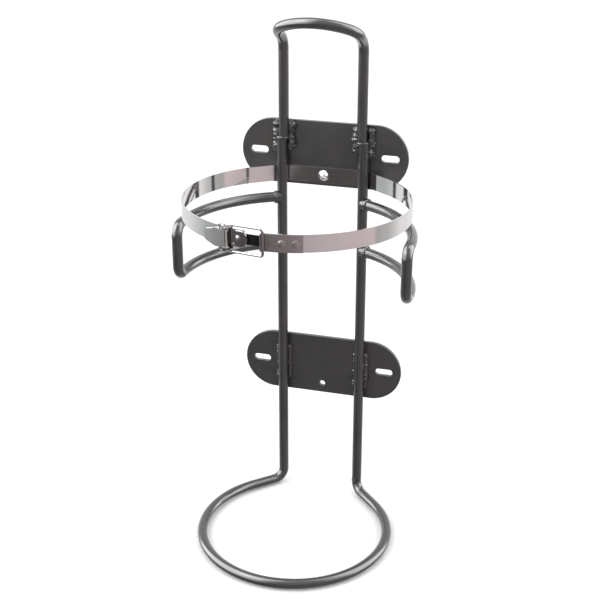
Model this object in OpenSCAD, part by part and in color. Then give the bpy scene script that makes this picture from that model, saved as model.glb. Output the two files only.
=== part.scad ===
// Wall holder for a gas cylinder: a rod frame with a ring foot, two wall plates,
// a cradle of side arms, and a metal strap that a toggle latch closes.
// +Z up, +Y towards the wall, the origin on the floor in the middle of the outline.

/* [Rod frame] */
// Diameter of the frame's rod
rod_d = 8; // [7:0.5:9]
// Distance between the axes of the two uprights
upright_gap = 64; // [60:1:68]
// Height where the uprights end and the hook rod begins
butt_z = 304.5; // [300:0.5:310]
// Radius of the base ring's centreline
ring_r = 73.3; // [71:0.1:76]
// Distance from the uprights to the middle of the base ring
ring_reach = 72; // [70:0.5:74]
// Bend radius at each foot
foot_bend_r = 9; // [7:0.5:12]

/* [Hook] */
// Distance between the axes of the hook's two legs
hook_gap = 61; // [59:0.5:62]
// Straight length of each hook leg above the butt joint
hook_leg = 67; // [60:1:75]
// Bend radius where each leg turns forward
hook_bend_r = 12.7; // [10:0.1:15]
// Angle of the bow above the horizontal
bow_tilt = 32; // [20:1:40]
// Straight run between the leg's bend and the bow
bow_run = 6.3; // [4:0.1:10]
// Radius of the bow's two shoulders
shoulder_r = 16.5; // [14:0.5:18]
// Angle that each shoulder turns through
shoulder_angle = 54; // [45:1:60]

/* [Cradle arms] */
// Radius of the arms' centreline
arm_r = 85; // [82:0.5:88]
// Distance from the uprights to the middle of the cradle
arm_reach = 80; // [78:0.5:82]
// Height of the upper run
arm_top_z = 257; // [255:0.5:259]
// Height of the lower run
arm_low_z = 218.5; // [214:0.5:222]
// Bend radius at the front of each arm
arm_bend_r = 8; // [7:0.5:10]

/* [Wall plates] */
// Length of each plate
plate_w = 131; // [126:1:136]
// Height of each plate
plate_h = 50.4; // [48:0.2:54]
// Thickness of each plate
plate_t = 3; // [2.5:0.5:4]
// Height of the upper plate's middle
upper_z = 292; // [291:0.5:293]
// Height of the lower plate's middle
lower_z = 113; // [105:1:120]
// Distance between the middles of a plate's two slots
slot_gap = 103; // [98:1:106]
// Length of a slot from end to end
slot_l = 14; // [12:0.5:16]
// Width of a slot
slot_w = 5.5; // [5:0.5:6.5]
// Diameter of the strap screw's hole
strap_hole_d = 4.5; // [4:0.5:5]
// Distance of that hole below the plate's middle
strap_hole_drop = 17; // [16.5:0.5:17.5]

/* [Strap] */
// Height of the strap
band_h = 12.5; // [11:0.5:13]
// Thickness of the strap
band_t = 0.8; // [0.6:0.1:0.8]
// Radius of the strap's front, at the middle of its thickness
front_r = 86; // [84:0.5:88]
// Radius of the strap's two sides, at the middle of its thickness
side_r = 74; // [72:0.5:76]
// Distance from the uprights to the strap's front
strap_reach = 146; // [144:0.5:148]
// Gap between the rods and the wall plates, where the strap passes
strap_gap = 1; // [1:0.1:1.5]

/* [Latch] */
// Angle of the lever's pin, left of the strap's front
pin_angle = 17.1; // [15:0.1:20]
// Diameter of the lever's pin
pin_d = 2.5; // [2:0.1:3]
// Distance of the bail's pivot beyond the lever's pin
throw = 5.9; // [5.5:0.1:6.5]
// Diameter of the bail's wire
wire_d = 2; // [1.6:0.1:2.2]
// Height of the bail between its wires' axes
bail_h = 19; // [19:0.5:21]
// Angle of the lever's tip, left of the strap's front
lever_tip_angle = 28.5; // [26:0.5:32]

/* [Hidden] */
$fn = 48;

charcoal = [0.15, 0.15, 0.155];
weld_grey = [0.13, 0.13, 0.135];
steel = [0.78, 0.77, 0.77];
dark_steel = [0.36, 0.36, 0.37];

// Frame, with distances measured from the uprights' axes
rod_r = rod_d / 2;
foot_x = upright_gap / 2;
plate_front = rod_r + strap_gap;
plate_back = plate_front + plate_t;

// Straight stretches lap a little way into the bends, and are a hair thinner there
lap = 0.15;
lap_step = 0.03;
joint_run = 0.5;
cope_gap = 0.1;
// Gap between faces that only rest against each other
fit_gap = 0.03;

// Base ring: straight runs leave the feet at a tangent to the ring
foot_dist = sqrt(foot_x * foot_x + ring_reach * ring_reach);
foot_run = sqrt(foot_dist * foot_dist - ring_r * ring_r);
ring_open = atan2(foot_x, ring_reach) + acos(ring_r / foot_dist);

// Hook: the middle arc joins the two shoulders
bow_half = hook_gap / 2 - shoulder_r * (1 - cos(shoulder_angle))
    - joint_run * sin(shoulder_angle);
bow_r = bow_half / cos(shoulder_angle);

// Cradle arms start on the uprights' axes
arm_start = asin(foot_x / arm_r);

// Strap: a front arc, two side arcs, a straight run each side and a flat back
band_r = band_t / 2;
front_y = front_r - strap_reach;
side_join = 45;
side_x = (front_r - side_r) * sin(side_join);
side_y = front_y - (front_r - side_r) * cos(side_join);
wrap_r = rod_r + strap_gap / 2;
wrap_dx = foot_x - side_x;
wrap_dist = sqrt(wrap_dx * wrap_dx + side_y * side_y);
wrap_angle = atan2(wrap_dx, -side_y) + acos((side_r - wrap_r) / wrap_dist);
side_run = sqrt(wrap_dist * wrap_dist - pow(side_r - wrap_r, 2));
band_in = front_r - band_r;
band_out = front_r + band_r;
band_z = upper_z - strap_hole_drop;

// Latch: sheet parts lie against the outside of the strap's front arc
sheet_t = 0.8;
floor_out = band_out + sheet_t;
left_end_angle = 9;
right_end_angle = 1.2;
wire_r = wire_d / 2;
pin_r = pin_d / 2;
running_gap = 0.08;
lobe_r = pin_r + 1.2;
pin_reach = floor_out + lobe_r + 0.35;
pivot_reach = pin_reach - 0.8;
pivot_angle = pin_angle + asin(throw / pivot_reach);
catch_gap = 0.3;
catch_reach = floor_out + catch_gap + wire_r;
lip_lean = 12;
lip_h = 2.6;
flange_in = 5.6;
flange_out = flange_in + sheet_t;
ear_in = 7;
ear_out = ear_in + sheet_t;
ear_r = 3;
nose_angle = 7.5;
nose_r = 5.4;
rivet_angle = 12.2;
catch_rivet_angles = [-8.1, -14.2];
catch_end_angle = -17.5;
tongue_h = 7.5;

// The latch's wire reaches furthest forward and the plates furthest back
front_end = -front_y + catch_reach + wire_r;
rod_y = (front_end - plate_back) / 2;

// A point at a reach from the strap's front centre, at an angle left of the front
function latch_point(reach, angle) = [-reach * sin(angle), front_y - reach * cos(angle)];

// Puts children in the object's frame from distances measured at the uprights
module at_uprights() {
    translate([0, rod_y, 0]) children();
}

// Rod bend from the origin: it heads +Z and turns towards +X
module bend(radius, angle, thick) {
    translate([radius, 0, 0])
        rotate([90, 0, 0])
            rotate([0, 0, 180 - angle])
                rotate_extrude(angle = angle)
                    translate([radius, 0]) circle(d = thick);
}

// Straight rod that laps a little way into the bends at its two ends
module straight_rod(run, thick) {
    translate([0, 0, -lap]) cylinder(h = run + 2 * lap, d = thick - 2 * lap_step);
}

// Bent rod from the origin towards +Z. Each step is
// [straight length, bend radius, bend angle, roll of the bend's plane].
module bent_rod(steps, thick = rod_d, i = 0) {
    if (i < len(steps)) {
        run = steps[i][0];
        radius = steps[i][1];
        angle = steps[i][2];
        if (run > 0) straight_rod(run, thick);
        translate([0, 0, run]) rotate([0, 0, steps[i][3]]) {
            if (angle > 0) bend(radius, angle, thick);
            translate([radius * (1 - cos(angle)), 0, radius * sin(angle)])
                rotate([0, angle, 0]) bent_rod(steps, thick, i + 1);
        }
    }
}

// Upright sheet bent to an arc about a vertical axis
module arc_sheet(radius_in, thick, low, high, from, to) {
    rotate([0, 0, from])
        rotate_extrude(angle = to - from, $fn = 180)
            translate([radius_in, low]) square([thick, high - low]);
}

// The same, about the strap's front centre, between angles left of the front
module front_sheet(radius_in, thick, half_h, from, to) {
    translate([0, front_y, band_z])
        arc_sheet(radius_in, thick, -half_h, half_h, 270 - to, 270 - from);
}

// Places children on the strap's front arc: +Z outward, +Y up
module on_front(reach, angle) {
    translate([0, front_y, band_z])
        rotate([0, 0, -angle])
            translate([0, -reach, 0]) rotate([90, 0, 0]) children();
}

module both_sides() {
    children();
    mirror([1, 0, 0]) children();
}

// ---- Rod frame ----

module base_ring() {
    straight = foot_run - foot_bend_r;
    steps = [
        [0, foot_bend_r, 90, 0],
        [straight, ring_r, 360 - 2 * ring_open, 90],
        [straight, foot_bend_r, 90, -90]
    ];
    color(charcoal) at_uprights()
        translate([-foot_x, 0, rod_r + foot_bend_r])
            mirror([0, 0, 1]) rotate([0, 0, 270 - ring_open]) bent_rod(steps);
}

module upright(side) {
    foot_top = rod_r + foot_bend_r;
    at_uprights()
        translate([side * foot_x, 0, foot_top]) cylinder(h = butt_z - foot_top, d = rod_d);
}

module upright_left() {
    color(charcoal) upright(-1);
}

module upright_right() {
    color(charcoal) upright(1);
}

module hook_rod() {
    turn = 90 - bow_tilt;
    leg = hook_leg - lap;
    steps = [
        [leg, hook_bend_r, turn, -90],
        [bow_run, shoulder_r, shoulder_angle, 90],
        [joint_run, bow_r, 180 - 2 * shoulder_angle, 0],
        [joint_run, shoulder_r, shoulder_angle, 0],
        [bow_run, hook_bend_r, turn, -90],
        [leg, 0, 0, 0]
    ];
    color(charcoal) at_uprights()
        translate([-hook_gap / 2, 0, butt_z + lap]) bent_rod(steps);
}

module frame_rods() {
    both_sides() {
        translate([foot_x, 0, 0]) cylinder(h = butt_z, d = rod_d);
        translate([hook_gap / 2, 0, butt_z]) cylinder(h = hook_leg, d = rod_d);
    }
}

module arm_rod() {
    arc = 90 - arm_start;
    steps = [
        [0, arm_r, arc, 0],
        [joint_run, arm_bend_r, 90, 90],
        [arm_top_z - arm_low_z - 2 * arm_bend_r, arm_bend_r, 90, 0],
        [joint_run, arm_r, arc, -90]
    ];
    translate([foot_x, arm_r * cos(arm_start) - arm_reach, arm_top_z])
        rotate([0, 0, -arm_start]) rotate([0, 90, 0]) rotate([0, 0, -90])
            bent_rod(steps);
}

// Each arm's ends are cut to fit round its upright
module cradle_arm() {
    difference() {
        arm_rod();
        translate([foot_x, 0, 0]) cylinder(h = butt_z, r = rod_r + cope_gap);
    }
}

module cradle_arm_left() {
    color(charcoal) at_uprights() mirror([1, 0, 0]) cradle_arm();
}

module cradle_arm_right() {
    color(charcoal) at_uprights() cradle_arm();
}

// ---- Wall plates ----

module slot() {
    run = slot_l - slot_w;
    for (end = [-1, 1])
        translate([end * run / 2, 0, 0]) circle(d = slot_w);
    square([run, slot_w], center = true);
}

module plate_outline() {
    end_x = (plate_w - plate_h) / 2;
    difference() {
        union() {
            for (side = [-1, 1])
                translate([side * end_x, 0, 0]) circle(d = plate_h, $fn = 96);
            square([2 * end_x, plate_h], center = true);
        }
        for (side = [-1, 1])
            translate([side * slot_gap / 2, 0, 0]) slot();
        translate([0, -strap_hole_drop, 0]) circle(d = strap_hole_d);
    }
}

module wall_plate(height) {
    at_uprights()
        translate([0, plate_back, height])
            rotate([90, 0, 0]) linear_extrude(plate_t) plate_outline();
}

module upper_plate() {
    color(charcoal) wall_plate(upper_z);
}

module lower_plate() {
    color(charcoal) wall_plate(lower_z);
}

// ---- Welds ----

// Bead with round ends between a rod and a wall plate
module plate_bead(x, low, high, radius) {
    translate([x, plate_front - radius * 0.4, low]) {
        cylinder(h = high - low, r = radius);
        sphere(r = radius);
        translate([0, 0, high - low]) sphere(r = radius);
    }
}

module plate_beads(x_out, x_in, low, high, radius) {
    difference() {
        both_sides() {
            plate_bead(x_out, low, high, radius);
            plate_bead(x_in, low, high, radius);
        }
        frame_rods();
        translate([-plate_w / 2, plate_front, 0]) cube([plate_w, plate_t, butt_z + plate_h]);
    }
}

module upper_plate_welds() {
    color(weld_grey) at_uprights()
        plate_beads(foot_x + 4.4, hook_gap / 2 - 4.4, 296, 313, 2.4);
}

module lower_plate_welds() {
    color(weld_grey) at_uprights()
        plate_beads(foot_x + 4.2, foot_x - 4.2, lower_z - 13, lower_z + 13, 1.8);
}

// Collar of weld round each arm's end
module cradle_arm_welds() {
    color(weld_grey) at_uprights()
        difference() {
            both_sides()
                for (height = [arm_top_z, arm_low_z])
                    translate([foot_x, arm_r * cos(arm_start) - arm_reach, height])
                        rotate([0, 0, -arm_start]) rotate([0, 90, 0])
                            translate([0, 0, rod_r - 0.6]) cylinder(h = 2.6, r = rod_r + 0.9);
            frame_rods();
            both_sides() arm_rod();
        }
}

module hook_butt_welds() {
    color(weld_grey) at_uprights()
        difference() {
            both_sides()
                translate([(foot_x + hook_gap / 2) / 2, 0, butt_z - 1.2])
                    cylinder(h = 2.4, r = rod_r + 1.1);
            frame_rods();
            both_sides()
                translate([hook_gap / 2, 0, butt_z]) cylinder(h = 2.4, r = rod_r + fit_gap);
            translate([-plate_w / 2, 1.4, 0]) cube([plate_w, plate_t + rod_d, 2 * butt_z]);
        }
}

// ---- Strap ----

// Flat stretch of the strap, from the origin along +X
module strap_run(run) {
    half_h = band_h / 2;
    translate([-lap, lap_step - band_r, lap_step - half_h])
        cube([run + 2 * lap, band_t - 2 * lap_step, band_h - 2 * lap_step]);
}

module strap_side() {
    half_h = band_h / 2;
    join_gap = 0.03;
    translate([0, 0, band_z]) {
        translate([side_x, side_y, 0])
            arc_sheet(side_r - band_r, band_t, -half_h, half_h,
                side_join - 90 + join_gap, 90 - wrap_angle);
        translate([side_x, side_y, 0]) rotate([0, 0, side_join - 90])
            translate([side_r, 0, 0]) rotate([0, 0, 90]) strap_run(0);
        translate([foot_x, 0, 0])
            arc_sheet(wrap_r - band_r, band_t, -half_h, half_h, 90 - wrap_angle, 90);
        translate([foot_x, 0, 0]) rotate([0, 0, -wrap_angle])
            translate([0, wrap_r, 0]) strap_run(side_run);
    }
}

module strap() {
    color(steel) at_uprights()
        difference() {
            union() {
                both_sides() strap_side();
                translate([-foot_x, wrap_r, band_z]) strap_run(upright_gap);
                front_sheet(band_in, band_t, band_h / 2, left_end_angle, side_join);
                front_sheet(band_in, band_t, band_h / 2, -side_join, right_end_angle);
            }
            translate([0, 0, band_z]) rotate([-90, 0, 0])
                cylinder(h = plate_back, d = strap_hole_d);
            rivet_holes();
        }
}

module strap_screw() {
    head_r = 4.15;
    head_h = 2.4;
    slot_depth = 0.9;
    dome_r = (head_r * head_r + head_h * head_h) / (2 * head_h);
    seat = wrap_r - band_r;
    color(steel) at_uprights()
        translate([0, seat, band_z]) rotate([90, 0, 0])
            difference() {
                union() {
                    intersection() {
                        translate([0, 0, head_h - dome_r]) sphere(r = dome_r);
                        cylinder(h = head_h, r = head_r);
                    }
                    translate([0, 0, seat - plate_back + 0.2])
                        cylinder(h = plate_back - seat - 0.2, d = strap_hole_d);
                }
                translate([-head_r, -0.5, head_h - slot_depth])
                    cube([2 * head_r, 1, head_h]);
            }
}

// Thin plate inside the strap that closes the gap behind the latch
module strap_tongue() {
    color(dark_steel) at_uprights()
        difference() {
            front_sheet(band_in - 0.7, 0.6, tongue_h / 2, -4.5, rivet_angle + 3);
            rivet_holes();
        }
}

// ---- Catch ----

module rivet_hole(angle, hole_r) {
    on_front(band_in - 2, angle) cylinder(h = 6, r = hole_r);
}

module rivet_holes() {
    rivet_hole(rivet_angle, 1.5);
    for (angle = catch_rivet_angles) rivet_hole(angle, 1.5);
}

// Rivet with a low round head outside and a flat tail inside
module rivet(angle, head_r, head_h, tail_reach) {
    dome_r = (head_r * head_r + head_h * head_h) / (2 * head_h);
    on_front(0, angle) {
        intersection() {
            translate([0, 0, floor_out + head_h - dome_r]) sphere(r = dome_r);
            translate([0, 0, floor_out]) cylinder(h = head_h, r = head_r);
        }
        translate([0, 0, tail_reach]) cylinder(h = floor_out - tail_reach, r = 1.5);
        translate([0, 0, tail_reach - 0.5]) cylinder(h = 0.5, r = 2.1);
    }
}

module catch_plate() {
    inner = band_out + fit_gap;
    lip_out = wire_r + catch_gap + sheet_t;
    // the leaning lip starts inside the sheet, clear of the strap
    lip_rise = lip_out * tan(lip_lean);
    color(steel) at_uprights()
        difference() {
            union() {
                front_sheet(inner, sheet_t - fit_gap, band_h / 2, catch_end_angle, 0);
                // upturned lip that the bail's wire pulls against
                on_front(catch_reach, 0) rotate([0, -lip_lean, 0])
                    translate([-lip_out, -band_h / 2, inner - catch_reach + lip_rise])
                        cube([sheet_t, band_h, lip_h - lip_rise]);
                on_front(inner, 0)
                    translate([-wire_r - catch_gap - 0.5, -band_h / 2, 0])
                        cube([2, band_h, sheet_t * 0.9]);
            }
            rivet_holes();
        }
}

module catch_rivets() {
    color(steel) at_uprights()
        for (angle = catch_rivet_angles) rivet(angle, 2.6, 0.5, band_in - 0.03);
}

// ---- Latch ----

module disc_at(reach, angle, low, high, radius) {
    spot = latch_point(reach, angle);
    translate([spot[0], spot[1], band_z + low]) cylinder(h = high - low, r = radius);
}

// The same disc above and below the strap's middle
module disc_pair(reach, angle, low, high, radius) {
    disc_at(reach, angle, low, high, radius);
    disc_at(reach, angle, -high, -low, radius);
}

// Sheet arcs above and below the strap's middle
module wall_pair(radius_in, radius_out, low, high, from, to) {
    for (start = [low, -high])
        translate([0, front_y, band_z])
            arc_sheet(radius_in, radius_out - radius_in, start, start + high - low,
                270 - to, 270 - from);
}

// Plan of the latch's floor, seen from outside, with the pin at the origin
module base_outline() {
    nose = floor_out * sin(pin_angle - nose_angle) - nose_r;
    translate([nose, 0]) circle(r = nose_r);
    translate([0, -nose_r]) square([nose, 2 * nose_r]);
    translate([-ear_r - 0.4, -ear_out]) square([2 * ear_r + 0.8, 2 * ear_out]);
}

// Plan of an ear from above, with the pin at the origin and the strap at +Y
module ear_outline() {
    foot = ear_r - 0.3;
    circle(r = ear_r);
    translate([-foot, 0]) square([2 * foot, pin_reach - band_out - 0.2]);
}

module latch_base() {
    pin_spot = latch_point(pin_reach, pin_angle);
    color(steel) at_uprights()
        difference() {
            union() {
                intersection() {
                    front_sheet(band_out, sheet_t, ear_out + 1, nose_angle - 1, pin_angle + 4);
                    on_front(0, pin_angle) linear_extrude(2 * front_r) base_outline();
                }
                for (low = [ear_in, lap_step - ear_out])
                    translate([pin_spot[0], pin_spot[1], band_z + low])
                        rotate([0, 0, -pin_angle])
                            linear_extrude(ear_out - ear_in - lap_step) ear_outline();
            }
            disc_at(pin_reach, pin_angle, -ear_out - 1, ear_out + 1, pin_r);
            rivet_holes();
        }
}

module latch_base_rivet() {
    color(steel) at_uprights() rivet(rivet_angle, 2.4, 0.6, band_in - 0.73);
}

// Plan of the lever's top plate, seen from outside: +X right, +Y up
module lever_outline() {
    tip = pin_reach * sin(lever_tip_angle - pin_angle);
    tip_r = 3.2;
    shoulder = tip * 0.45;
    hull() {
        translate([-shoulder, -flange_out]) square([shoulder + lobe_r, 2 * flange_out]);
        for (side = [-1, 1])
            translate([-tip + tip_r, side * 1.2]) circle(r = tip_r, $fn = 32);
    }
}

module latch_lever() {
    top_in = pin_reach + pin_r + 0.25;
    top_out = top_in + sheet_t;
    wall_end = pin_angle + (lever_tip_angle - pin_angle) * 0.5;
    color(steel) at_uprights()
        difference() {
            union() {
                intersection() {
                    front_sheet(top_in, sheet_t, flange_out, pin_angle - 0.3, lever_tip_angle);
                    on_front(0, pin_angle)
                        linear_extrude(2 * front_r) lever_outline();
                }
                wall_pair(pin_reach - 0.9, top_out, flange_in, flange_out, pin_angle, wall_end);
                disc_pair(pin_reach, pin_angle, flange_in, flange_out, lobe_r);
                disc_pair(pivot_reach, pivot_angle, flange_in, flange_out, wire_r + 0.9);
            }
            disc_at(pin_reach, pin_angle, -ear_out, ear_out, pin_r + running_gap);
            disc_at(pivot_reach, pivot_angle, -ear_out, ear_out, wire_r + running_gap);
        }
}

module lever_pin() {
    color(steel) at_uprights()
        disc_at(pin_reach, pin_angle, -ear_out - 0.25, ear_out + 0.25, pin_r);
}

module bail() {
    corner_r = 2;
    pivot = latch_point(pivot_reach, pivot_angle);
    hold = latch_point(catch_reach, 0);
    span = norm(hold - pivot);
    upright_run = bail_h - 2 * corner_r;
    side_steps = [for (i = [0, 1]) each [
        [upright_run, corner_r, 90, 0],
        [span - 2 * corner_r, corner_r, 90, 0]
    ]];
    color(steel) at_uprights()
        translate([pivot[0], pivot[1], band_z - upright_run / 2])
            rotate([0, 0, atan2(hold[1] - pivot[1], hold[0] - pivot[0])])
                bent_rod(side_steps, wire_d);
}

base_ring();
upright_left();
upright_right();
hook_rod();
cradle_arm_left();
cradle_arm_right();
upper_plate();
lower_plate();
upper_plate_welds();
lower_plate_welds();
cradle_arm_welds();
hook_butt_welds();
strap();
strap_screw();
strap_tongue();
catch_plate();
catch_rivets();
latch_base();
latch_base_rivet();
latch_lever();
lever_pin();
bail();
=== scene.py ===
import math

import bmesh
import bpy
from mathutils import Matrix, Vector, noise


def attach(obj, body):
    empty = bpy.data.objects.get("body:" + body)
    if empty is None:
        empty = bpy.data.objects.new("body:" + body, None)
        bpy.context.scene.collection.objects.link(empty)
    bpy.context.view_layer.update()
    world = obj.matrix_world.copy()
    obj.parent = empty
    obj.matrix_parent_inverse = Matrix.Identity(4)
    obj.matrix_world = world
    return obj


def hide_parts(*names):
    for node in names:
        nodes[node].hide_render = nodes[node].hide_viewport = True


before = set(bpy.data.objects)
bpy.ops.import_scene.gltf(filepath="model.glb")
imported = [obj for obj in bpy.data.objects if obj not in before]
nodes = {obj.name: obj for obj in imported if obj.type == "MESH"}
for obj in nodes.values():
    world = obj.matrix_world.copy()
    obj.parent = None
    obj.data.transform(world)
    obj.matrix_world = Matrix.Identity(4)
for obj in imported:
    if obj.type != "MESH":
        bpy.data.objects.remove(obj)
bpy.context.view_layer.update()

MM = 0.001
MERGE_DISTANCE = 0.001 * MM


def show(thing):
    """Puts a new object in the scene."""
    bpy.context.scene.collection.objects.link(thing)


# ---------------------------------------------------------------- camera

CAMERA_AZIMUTH = 16.25
CAMERA_ELEVATION = 23.37
CAMERA_DISTANCE = 0.91787
CAMERA_TARGET = Vector((-0.0061, 0.0308, 0.1887))
LENS = 72
SENSOR_WIDTH = 36
CLIP_START = 0.01


def make_camera():
    azimuth = math.radians(CAMERA_AZIMUTH)
    elevation = math.radians(CAMERA_ELEVATION)
    back = Vector((
        math.sin(azimuth) * math.cos(elevation),
        -math.cos(azimuth) * math.cos(elevation),
        math.sin(elevation),
    ))
    data = bpy.data.cameras.new("camera")
    data.lens = LENS
    data.sensor_width = SENSOR_WIDTH
    data.clip_start = CLIP_START
    camera = bpy.data.objects.new("camera", data)
    camera.location = CAMERA_TARGET + back * CAMERA_DISTANCE
    camera.rotation_euler = (-back).to_track_quat("-Z", "Y").to_euler()
    show(camera)
    bpy.context.scene.camera = camera


make_camera()


# ---------------------------------------------------------------- shader helpers

# How noise is stretched: the smaller the number, the longer the marks that way
EVEN = (1, 1, 1)
ALONG_STRIP = (0.06, 0.06, 1)
UPRIGHT_WAVES = (1, 1, 0.35)

def new_material(name, kind="ShaderNodeBsdfPrincipled", result="BSDF"):
    """A material with only one shader and its output."""
    material = bpy.data.materials.new(name)
    material.use_nodes = True
    tree = material.node_tree
    tree.nodes.clear()
    shader = tree.nodes.new(kind)
    output = tree.nodes.new("ShaderNodeOutputMaterial")
    tree.links.new(shader.outputs[result], output.inputs["Surface"])
    return material, tree, shader


def object_noise(tree, scale, detail, stretch=EVEN):
    """Noise over the object's own coordinates, with scale in cells per metre."""
    coordinates = tree.nodes.new("ShaderNodeTexCoord")
    mapping = tree.nodes.new("ShaderNodeMapping")
    mapping.inputs["Scale"].default_value = stretch
    texture = tree.nodes.new("ShaderNodeTexNoise")
    texture.inputs["Scale"].default_value = scale
    texture.inputs["Detail"].default_value = detail
    tree.links.new(coordinates.outputs["Object"], mapping.inputs["Vector"])
    tree.links.new(mapping.outputs["Vector"], texture.inputs["Vector"])
    return texture.outputs["Fac"]


def ramp(tree, source, stops):
    """A colour ramp over source; stops are (position, colour)."""
    node = tree.nodes.new("ShaderNodeValToRGB")
    elements = node.color_ramp.elements
    while len(elements) < len(stops):
        elements.new(0.5)
    for element, (position, colour) in zip(elements, stops):
        element.position = position
        element.color = (*colour, 1)
    tree.links.new(source, node.inputs["Fac"])
    return node.outputs["Color"]


def value_between(tree, source, low, high, from_low=0.3, from_high=0.7):
    """Maps source from its usual spread to low ... high."""
    node = tree.nodes.new("ShaderNodeMapRange")
    node.inputs["From Min"].default_value = from_low
    node.inputs["From Max"].default_value = from_high
    node.inputs["To Min"].default_value = low
    node.inputs["To Max"].default_value = high
    tree.links.new(source, node.inputs["Value"])
    return node.outputs["Result"]


def add_bump(tree, shader, heights):
    """Chains bump nodes; heights are (source, strength, distance in metres)."""
    normal = None
    for source, strength, distance in heights:
        bump = tree.nodes.new("ShaderNodeBump")
        bump.inputs["Strength"].default_value = strength
        bump.inputs["Distance"].default_value = distance
        tree.links.new(source, bump.inputs["Height"])
        if normal is not None:
            tree.links.new(normal, bump.inputs["Normal"])
        normal = bump.outputs["Normal"]
    tree.links.new(normal, shader.inputs["Normal"])


def world_axes(tree):
    """The X, Y and Z of the point being shaded."""
    place = tree.nodes.new("ShaderNodeNewGeometry")
    axes = tree.nodes.new("ShaderNodeSeparateXYZ")
    tree.links.new(place.outputs["Position"], axes.inputs["Vector"])
    return axes.outputs


def calculate(tree, operation, first, second):
    """A math node; second is a socket or a number."""
    node = tree.nodes.new("ShaderNodeMath")
    node.operation = operation
    tree.links.new(first, node.inputs[0])
    if isinstance(second, bpy.types.NodeSocket):
        tree.links.new(second, node.inputs[1])
    else:
        node.inputs[1].default_value = second
    return node.outputs["Value"]


# A Mix node has sockets for every kind of value, and these are the ones for colours
MIX_FACTOR, MIX_A, MIX_B, MIX_RESULT = 0, 6, 7, 2


def mix_colours(tree, factor, first, blend_type="MIX"):
    """A colour Mix node without its second colour."""
    node = tree.nodes.new("ShaderNodeMix")
    node.data_type = "RGBA"
    node.blend_type = blend_type
    tree.links.new(factor, node.inputs[MIX_FACTOR])
    tree.links.new(first, node.inputs[MIX_A])
    return node


# ---------------------------------------------------------------- materials

# Scales of noise, in cells per metre
PAINT_MOTTLING, PAINT_WEAR, PAINT_LUMPS, PAINT_PEEL, PAINT_NIBS = 55, 160, 120, 700, 2600
STEEL_MOTTLING, STEEL_WAVES, STEEL_LINES = 40, 45, 1500
# How strong each bump is
LUMP_STRENGTH, NIB_STRENGTH = 0.12, 0.06
# How high each bump is
LUMP_HEIGHT, PEEL_HEIGHT, NIB_HEIGHT = 0.4 * MM, 0.12 * MM, 0.03 * MM
WAVE_HEIGHT, LINE_HEIGHT = 0.5 * MM, 0.02 * MM
PAINT_IOR = 1.5


def paint(name, dark, light, tint, orange_peel, rough, coat_rough):
    """Satin black paint over steel: mottled colour, orange peel and small dust nibs."""
    material, tree, shader = new_material(name)
    mottling = object_noise(tree, PAINT_MOTTLING, detail=6)
    colour = ramp(tree, mottling, [(0.32, dark), (0.55, light), (0.72, tint)])
    tree.links.new(colour, shader.inputs["Base Color"])
    wear = object_noise(tree, PAINT_WEAR, detail=5)
    tree.links.new(value_between(tree, wear, *rough), shader.inputs["Roughness"])
    peel = object_noise(tree, PAINT_PEEL, detail=2)
    nibs = object_noise(tree, PAINT_NIBS, detail=1)
    lumps = object_noise(tree, PAINT_LUMPS, detail=2)
    add_bump(tree, shader, [
        (lumps, LUMP_STRENGTH, LUMP_HEIGHT),
        (peel, orange_peel, PEEL_HEIGHT),
        (nibs, NIB_STRENGTH, NIB_HEIGHT),
    ])
    shader.inputs["IOR"].default_value = PAINT_IOR
    shader.inputs["Coat Weight"].default_value = 1
    shader.inputs["Coat Roughness"].default_value = coat_rough
    return material


def steel(name, dark, light, rough, grain, grain_stretch, scratches=0.05):
    """Bright steel: faint mottling, and fine lines along the way it was rolled."""
    material, tree, shader = new_material(name)
    mottling = object_noise(tree, STEEL_MOTTLING, detail=4)
    colour = ramp(tree, mottling, [(0.35, dark), (0.65, light)])
    tree.links.new(colour, shader.inputs["Base Color"])
    lines = object_noise(tree, STEEL_LINES, detail=3, stretch=grain_stretch)
    tree.links.new(value_between(tree, lines, *rough), shader.inputs["Roughness"])
    waves = object_noise(tree, STEEL_WAVES, detail=1, stretch=UPRIGHT_WAVES)
    add_bump(tree, shader, [
        (waves, grain, WAVE_HEIGHT),
        (lines, scratches, LINE_HEIGHT),
    ])
    shader.inputs["Metallic"].default_value = 1
    return material


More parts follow.
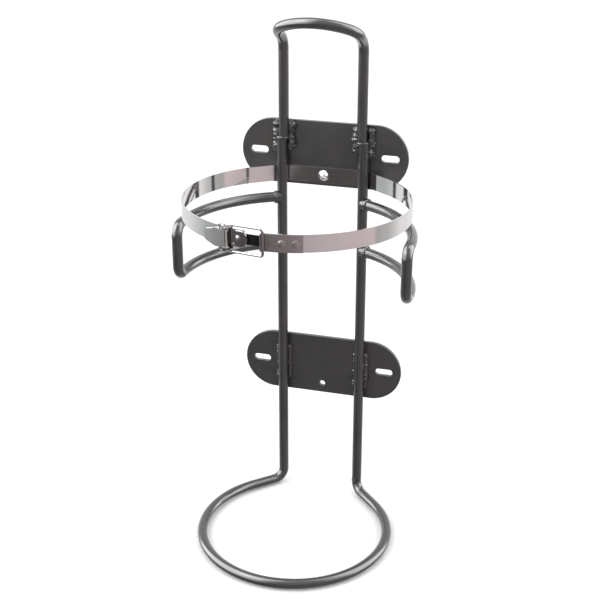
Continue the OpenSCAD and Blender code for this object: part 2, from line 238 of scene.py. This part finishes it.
looks = {
    "frame_paint": paint(
        "frame_paint", dark=(0.013, 0.013, 0.013), light=(0.018, 0.018, 0.018),
        tint=(0.023, 0.02, 0.019),
        orange_peel=0.1, rough=(0.2, 0.28), coat_rough=0.12),
    "plate_paint": paint(
        "plate_paint", dark=(0.016, 0.016, 0.016), light=(0.021, 0.02, 0.02),
        tint=(0.026, 0.023, 0.022),
        orange_peel=0.06, rough=(0.28, 0.36), coat_rough=0.22),
    "weld_paint": paint(
        "weld_paint", dark=(0.011, 0.011, 0.011), light=(0.016, 0.016, 0.016),
        tint=(0.021, 0.019, 0.018),
        orange_peel=0.08, rough=(0.24, 0.34), coat_rough=0.2),
    "strap_steel": steel(
        "strap_steel", dark=(0.74, 0.71, 0.71), light=(0.8, 0.78, 0.78),
        rough=(0.05, 0.1), grain=0.05, grain_stretch=ALONG_STRIP),
    "catch_steel": steel(
        "catch_steel", dark=(0.38, 0.35, 0.35), light=(0.46, 0.43, 0.43),
        rough=(0.2, 0.32), grain=0.05, grain_stretch=ALONG_STRIP, scratches=0.12),
    "latch_steel": steel(
        "latch_steel", dark=(0.6, 0.6, 0.59), light=(0.72, 0.72, 0.71),
        rough=(0.12, 0.22), grain=0.1, grain_stretch=EVEN),
    # The latch base's dark base colour is a painted dark reflection: it copies the dim surroundings
    # that the mirror-like sheet faces.
    "base_steel": steel(
        "base_steel", dark=(0.2, 0.19, 0.19), light=(0.3, 0.29, 0.29),
        rough=(0.14, 0.24), grain=0.1, grain_stretch=EVEN),
    # The bail wire's dark base colour is painted shade: it stands in for the greyer reflections the
    # wire shows, so the wire parts from the white around it.
    "wire_steel": steel(
        "wire_steel", dark=(0.26, 0.25, 0.25), light=(0.36, 0.35, 0.35),
        rough=(0.12, 0.2), grain=0.08, grain_stretch=EVEN),
    # The tongue's near-black base colour is painted shade: the steel strip sits in shadow, and the
    # steel itself is lighter than this.
    "tongue_steel": steel(
        "tongue_steel", dark=(0.02, 0.02, 0.02), light=(0.035, 0.035, 0.036),
        rough=(0.25, 0.38), grain=0.05, grain_stretch=ALONG_STRIP),
    "screw_chrome": steel(
        "screw_chrome", dark=(0.86, 0.86, 0.86), light=(0.92, 0.92, 0.92),
        rough=(0.04, 0.09), grain=0.04, grain_stretch=EVEN),
}


# ---------------------------------------------------------------- CAD nodes that stay

def dress(name, slot):
    """Gives a CAD node its material."""
    piece = nodes[name]
    piece.data.materials.clear()
    piece.data.materials.append(looks[slot])


EDGE_RADIUS = 0.35 * MM
EDGE_SEGMENTS = 2
SHARP_ANGLE = 50
FACE_WEIGHT = 100


def round_edges(name):
    """Breaks the sharp edges of a flat CAD node."""
    piece = nodes[name]
    weld = piece.modifiers.new("join_faces", "WELD")
    weld.merge_threshold = MERGE_DISTANCE
    bevel = piece.modifiers.new("round_edges", "BEVEL")
    bevel.width = EDGE_RADIUS
    bevel.segments = EDGE_SEGMENTS
    bevel.limit_method = "ANGLE"
    bevel.angle_limit = math.radians(SHARP_ANGLE)
    shading = piece.modifiers.new("even_shading", "WEIGHTED_NORMAL")
    shading.weight = FACE_WEIGHT


for name in ("base_ring", "upright_left", "upright_right", "hook_rod",
             "cradle_arm_left", "cradle_arm_right"):
    dress(name, "frame_paint")
for name in ("upper_plate", "lower_plate"):
    dress(name, "plate_paint")
    round_edges(name)
dress("strap", "strap_steel")
dress("strap_screw", "screw_chrome")
dress("strap_tongue", "tongue_steel")
dress("catch_plate", "catch_steel")
dress("catch_rivets", "catch_steel")
for name in ("latch_base", "latch_base_rivet"):
    dress(name, "base_steel")
for name in ("latch_lever", "lever_pin"):
    dress(name, "latch_steel")
dress("bail", "wire_steel")


# ---------------------------------------------------------------- weld beads

VOXEL = 0.4 * MM
SWELL_SCALE = 170
FINE_SWELL_SCALE = 500
FINE_SWELL_SHARE = 0.25
PUDDLE_SCALE = 150
PUDDLE_WANDER = 2
SMOOTHING = 0.5


def weld_bead(name, swollen, lump, ripple, pitch, melt):
    """A weld node as real beads: its shape swells and dips, with a ripple for each puddle."""
    source = nodes[name]
    mesh = source.data.copy()
    mesh.name = name + "_beads"
    bead = bpy.data.objects.new(name + "_beads", mesh)
    show(bead)
    work = bmesh.new()
    work.from_mesh(mesh)
    bmesh.ops.remove_doubles(work, verts=work.verts, dist=MERGE_DISTANCE)
    work.to_mesh(mesh)
    work.free()
    remesh = bead.modifiers.new("remesh", "REMESH")
    remesh.mode = "VOXEL"
    remesh.voxel_size = VOXEL
    depsgraph = bpy.context.evaluated_depsgraph_get()
    shaped = bpy.data.meshes.new_from_object(bead.evaluated_get(depsgraph))
    bead.modifiers.clear()
    bead.data = shaped
    smooth = bmesh.new()
    smooth.from_mesh(shaped)
    for _ in range(melt):
        bmesh.ops.smooth_vert(smooth, verts=smooth.verts, factor=SMOOTHING,
                              use_axis_x=True, use_axis_y=True, use_axis_z=True)
    smooth.to_mesh(shaped)
    smooth.free()
    for vertex in shaped.vertices:
        place = vertex.co
        swell = (noise.noise(place * SWELL_SCALE)
                 + FINE_SWELL_SHARE * noise.noise(place * FINE_SWELL_SCALE))
        wander = PUDDLE_WANDER * noise.noise(place * PUDDLE_SCALE)
        puddle = math.sin(2 * math.pi * place.z / pitch + wander)
        vertex.co = place + vertex.normal * (swollen + lump * swell + ripple * puddle)
    shaped.materials.clear()
    shaped.materials.append(looks["weld_paint"])
    shaped.polygons.foreach_set("use_smooth", [True] * len(shaped.polygons))
    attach(bead, "frame")
    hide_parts(name)


weld_bead("upper_plate_welds",
          swollen=1.5 * MM, lump=2.0 * MM, ripple=0.18 * MM, pitch=4.0 * MM, melt=5)
weld_bead("lower_plate_welds",
          swollen=0.6 * MM, lump=1.0 * MM, ripple=0.15 * MM, pitch=3.0 * MM, melt=5)
weld_bead("cradle_arm_welds",
          swollen=0.3 * MM, lump=0.5 * MM, ripple=0.05 * MM, pitch=2.0 * MM, melt=14)
weld_bead("hook_butt_welds",
          swollen=0, lump=0.25 * MM, ripple=0.04 * MM, pitch=1.6 * MM, melt=3)


# ---------------------------------------------------------------- floor, lights and studio surround

FLOOR_REACH = 30
FLOOR_WHITE = (0.93, 0.93, 0.93)
FLOOR_ROUGHNESS = 0.8


def flat_piece(name, low_x, low_y, high_x, high_y, material):
    """A rectangle that lies on the ground."""
    mesh = bpy.data.meshes.new(name)
    corners = [(low_x, low_y, 0), (high_x, low_y, 0), (high_x, high_y, 0), (low_x, high_y, 0)]
    mesh.from_pydata(corners, [], [(0, 1, 2, 3)])
    mesh.materials.append(material)
    piece = bpy.data.objects.new(name, mesh)
    show(piece)
    return piece


def make_floor():
    material, _, shader = new_material("floor_white")
    shader.inputs["Base Color"].default_value = (*FLOOR_WHITE, 1)
    shader.inputs["Roughness"].default_value = FLOOR_ROUGHNESS
    floor = flat_piece("floor", -FLOOR_REACH, -FLOOR_REACH, FLOOR_REACH, FLOOR_REACH, material)
    floor.visible_glossy = False


def emission(name, build):
    """A glowing material; build(tree, light) sets its colour."""
    material, tree, light = new_material(name, "ShaderNodeEmission", "Emission")
    build(tree, light)
    return material


def reflections_only(piece):
    """Bright metal sees this piece, and nothing else does."""
    piece.visible_camera = False
    piece.visible_diffuse = False
    piece.visible_shadow = False
    piece.visible_transmission = False
    piece.visible_volume_scatter = False


# What the bright metal mirrors, by direction round the object. 0 is straight in front, and
# positive is to the right; the grey stretch in front is the unlit end of the studio.
SURROUND = [
    (-180, (0.95, 0.95, 0.95)),
    (-110, (0.90, 0.92, 0.92)),
    (-85, (0.50, 0.53, 0.53)),
    (-60, (0.34, 0.34, 0.34)),
    (-40, (0.20, 0.19, 0.19)),
    (-15, (0.30, 0.27, 0.27)),
    (20, (0.50, 0.44, 0.45)),
    (90, (0.70, 0.60, 0.61)),
    (95, (0.46, 0.465, 0.455)),
    (112, (0.55, 0.56, 0.55)),
    (135, (0.95, 0.95, 0.95)),
    (180, (0.95, 0.95, 0.95)),
]
# How much the two soft lights add, by the same direction as a share of a full turn
SOFT_LIGHT = [
    (0.18, (0, 0, 0)),
    (0.21, (6, 6, 6)),
    (0.33, (6, 6, 6)),
    (0.42, (3, 3, 3)),
    (0.47, (0, 0, 0)),
    (0.70, (0, 0, 0)),
    (0.75, (5, 4.8, 4.8)),
    (0.86, (5, 4.8, 4.8)),
    (0.90, (0, 0, 0)),
]
# A plain dark strip with soft ends, from its left end to its right end
CARD_TONE = (0.08, 0.074, 0.074)
CARD_END = (0.3, 0.28, 0.28)
DARK_CARD = [(0.0, CARD_END), (0.2, CARD_TONE), (0.8, CARD_TONE), (1.0, CARD_END)]
SURROUND_R = 6
# The heights between which each comes in
CEILING_FROM, CEILING_TO = 0.1 * SURROUND_R, 0.45 * SURROUND_R
SOFT_LIGHT_FROM, SOFT_LIGHT_TO = -0.15 * SURROUND_R, 0.1 * SURROUND_R


def make_surround():
    """The inside of a wide sphere, which only reflections see."""
    def build(tree, light):
        axes = world_axes(tree)
        forward = calculate(tree, "MULTIPLY", axes["Y"], -1)
        angle = calculate(tree, "ARCTAN2", axes["X"], forward)
        turn = value_between(tree, angle, 0, 1, -math.pi, math.pi)
        side = ramp(tree, turn, [((degrees + 180) / 360, colour) for degrees, colour in SURROUND])
        # High up the surround is a white ceiling
        height = value_between(tree, axes["Z"], 0, 1, CEILING_FROM, CEILING_TO)
        ceiling = mix_colours(tree, height, side)
        ceiling.inputs[MIX_B].default_value = (1, 1, 1, 1)
        # The soft lights stand above the height that the strap mirrors
        raised = value_between(tree, axes["Z"], 0, 1, SOFT_LIGHT_FROM, SOFT_LIGHT_TO)
        lit = mix_colours(tree, raised, ceiling.outputs[MIX_RESULT], "ADD")
        lit.clamp_result = False
        tree.links.new(ramp(tree, turn, SOFT_LIGHT), lit.inputs[MIX_B])
        tree.links.new(lit.outputs[MIX_RESULT], light.inputs["Color"])

    work = bmesh.new()
    bmesh.ops.create_uvsphere(work, u_segments=64, v_segments=32, radius=SURROUND_R)
    mesh = bpy.data.meshes.new("surround")
    work.to_mesh(mesh)
    work.free()
    mesh.materials.append(emission("surround_light", build))
    surround = bpy.data.objects.new("surround", mesh)
    show(surround)
    reflections_only(surround)


def make_dark_card():
    """An unlit strip on the studio floor, which the flat back of the strap mirrors."""
    low_x, high_x, near_y, far_y = -0.31, -0.10, -1.0, -0.66

    def build(tree, light):
        across = value_between(tree, world_axes(tree)["X"], 0, 1, low_x, high_x)
        tree.links.new(ramp(tree, across, DARK_CARD), light.inputs["Color"])

    material = emission("dark_card", build)
    reflections_only(flat_piece("dark_card", low_x, near_y, high_x, far_y, material))


def area_light(name, place, aim, size, watts):
    data = bpy.data.lights.new(name, "AREA")
    data.shape = "RECTANGLE"
    data.size, data.size_y = size
    data.energy = watts
    light = bpy.data.objects.new(name, data)
    light.location = place
    light.rotation_euler = (Vector(aim) - Vector(place)).to_track_quat("-Z", "Y").to_euler()
    show(light)


WORLD_STRENGTH = 1.05


def make_world():
    world = bpy.data.worlds.new("studio")
    world.use_nodes = True
    background = world.node_tree.nodes["Background"]
    background.inputs["Color"].default_value = (1, 1, 1, 1)
    background.inputs["Strength"].default_value = WORLD_STRENGTH
    bpy.context.scene.world = world
    bpy.context.scene.view_settings.view_transform = "Standard"


make_floor()
make_world()
make_surround()
make_dark_card()
middle = (0, 0, 0.2)
area_light("key", place=(-0.9, -0.9, 1.5), aim=middle, size=(0.9, 0.9), watts=9)
area_light("fill", place=(1.3, -0.5, 1.0), aim=middle, size=(0.8, 1.2), watts=4)
